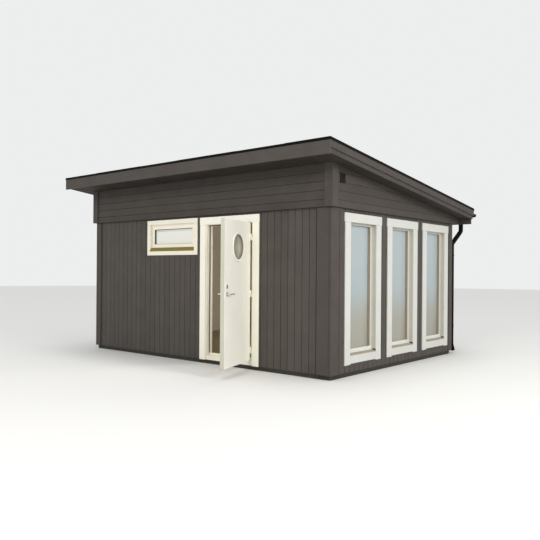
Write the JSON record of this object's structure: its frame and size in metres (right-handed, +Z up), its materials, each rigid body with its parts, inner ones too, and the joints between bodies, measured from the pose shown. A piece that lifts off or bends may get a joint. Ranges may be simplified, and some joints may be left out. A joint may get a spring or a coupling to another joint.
{
  "type": "garden cabin",
  "caption": "Timber garden cabin with a single-slope roof, tall side windows, a small high window and a hinged door with a round window.",
  "frame": {"origin": "on the ground, at the middle of the outline of the walls", "axes": "+Z up, +X along the door wall towards the wall with the tall windows, +Y from the door wall towards the back eave"},
  "size_m": [5.616, 4.8727, 3.0006],
  "materials": {
    "dark_stained_boards": "matt stained boards",
    "dark_stained_band": "matt stained boards",
    "dark_trim": "matt stained boards",
    "dark_sill": "matt stained timber",
    "dark_soffit": "matt stained boards",
    "bare_timber": "sawn softwood",
    "floor_timber": "planed boards",
    "ceiling_boards": "planed boards",
    "roofing_felt": "fine grit felt",
    "black_metal": "satin coated steel",
    "white_paint": "satin painted timber",
    "window_glass": "clear pane",
    "sheet_flashing": "folded sheet",
    "steel_fittings": "brushed"
  },
  "bodies": {
    "cabin": {"front_wall_left": "dark_stained_boards", "front_wall_right": "dark_stained_boards", "front_wall_lintel": "dark_stained_boards", "right_wall": "dark_stained_boards", "left_wall": "dark_stained_boards", "back_wall": "dark_stained_boards", "front_band": "dark_stained_band", "side_bands": "dark_stained_band", "corner_boards": "dark_trim", "fascias": "dark_trim", "bargeboards": "dark_trim", "base_sill": "dark_sill", "front_soffit": "dark_soffit", "side_soffits": "dark_soffit", "back_soffit": "dark_soffit", "floor_joists": "bare_timber", "rafters": "bare_timber", "roof_deck": "bare_timber", "floor_boards": "floor_timber", "ceiling": "ceiling_boards", "roof_felt": "roofing_felt", "roof_edge_trims": "black_metal", "gutter": "black_metal", "gutter_brackets": "black_metal", "downpipe": "black_metal", "pipe_clips": "black_metal", "vent_grille": "black_metal", "door_casing": "white_paint", "door_frame": "white_paint", "door_threshold": "white_paint", "tall_window_casings": "white_paint", "tall_window_frames": "white_paint", "tall_window_sashes": "white_paint", "small_window_casing": "white_paint", "small_window_frame": "white_paint", "small_window_sash": "white_paint", "window_glass": "window_glass", "window_flashings": "sheet_flashing", "hinge_frame_halves": "steel_fittings"},
    "door": {"door_leaf": "white_paint", "door_window_rings": "white_paint", "door_window_glass": "window_glass", "hinge_leaf_halves": "steel_fittings", "door_rosettes": "steel_fittings"},
    "handle": {"door_handle": "steel_fittings"}
  },
  "joints": [
    {"name": "door_hinge", "type": "hinge", "parent": "cabin", "child": "door", "pos_m": [1.1535, -1.82, 1.07], "axis": [0, 0, 1], "range_deg": [-110, 50]},
    {"name": "lever_turn", "type": "hinge", "parent": "door", "child": "handle", "pos_m": [1.42473, -2.59444, 1.092], "axis": [-0.9397, -0.342, 0], "range_deg": [0, 40], "stiffness_Nm_per_rad": 1, "springref_deg": -34.38}
  ]
}
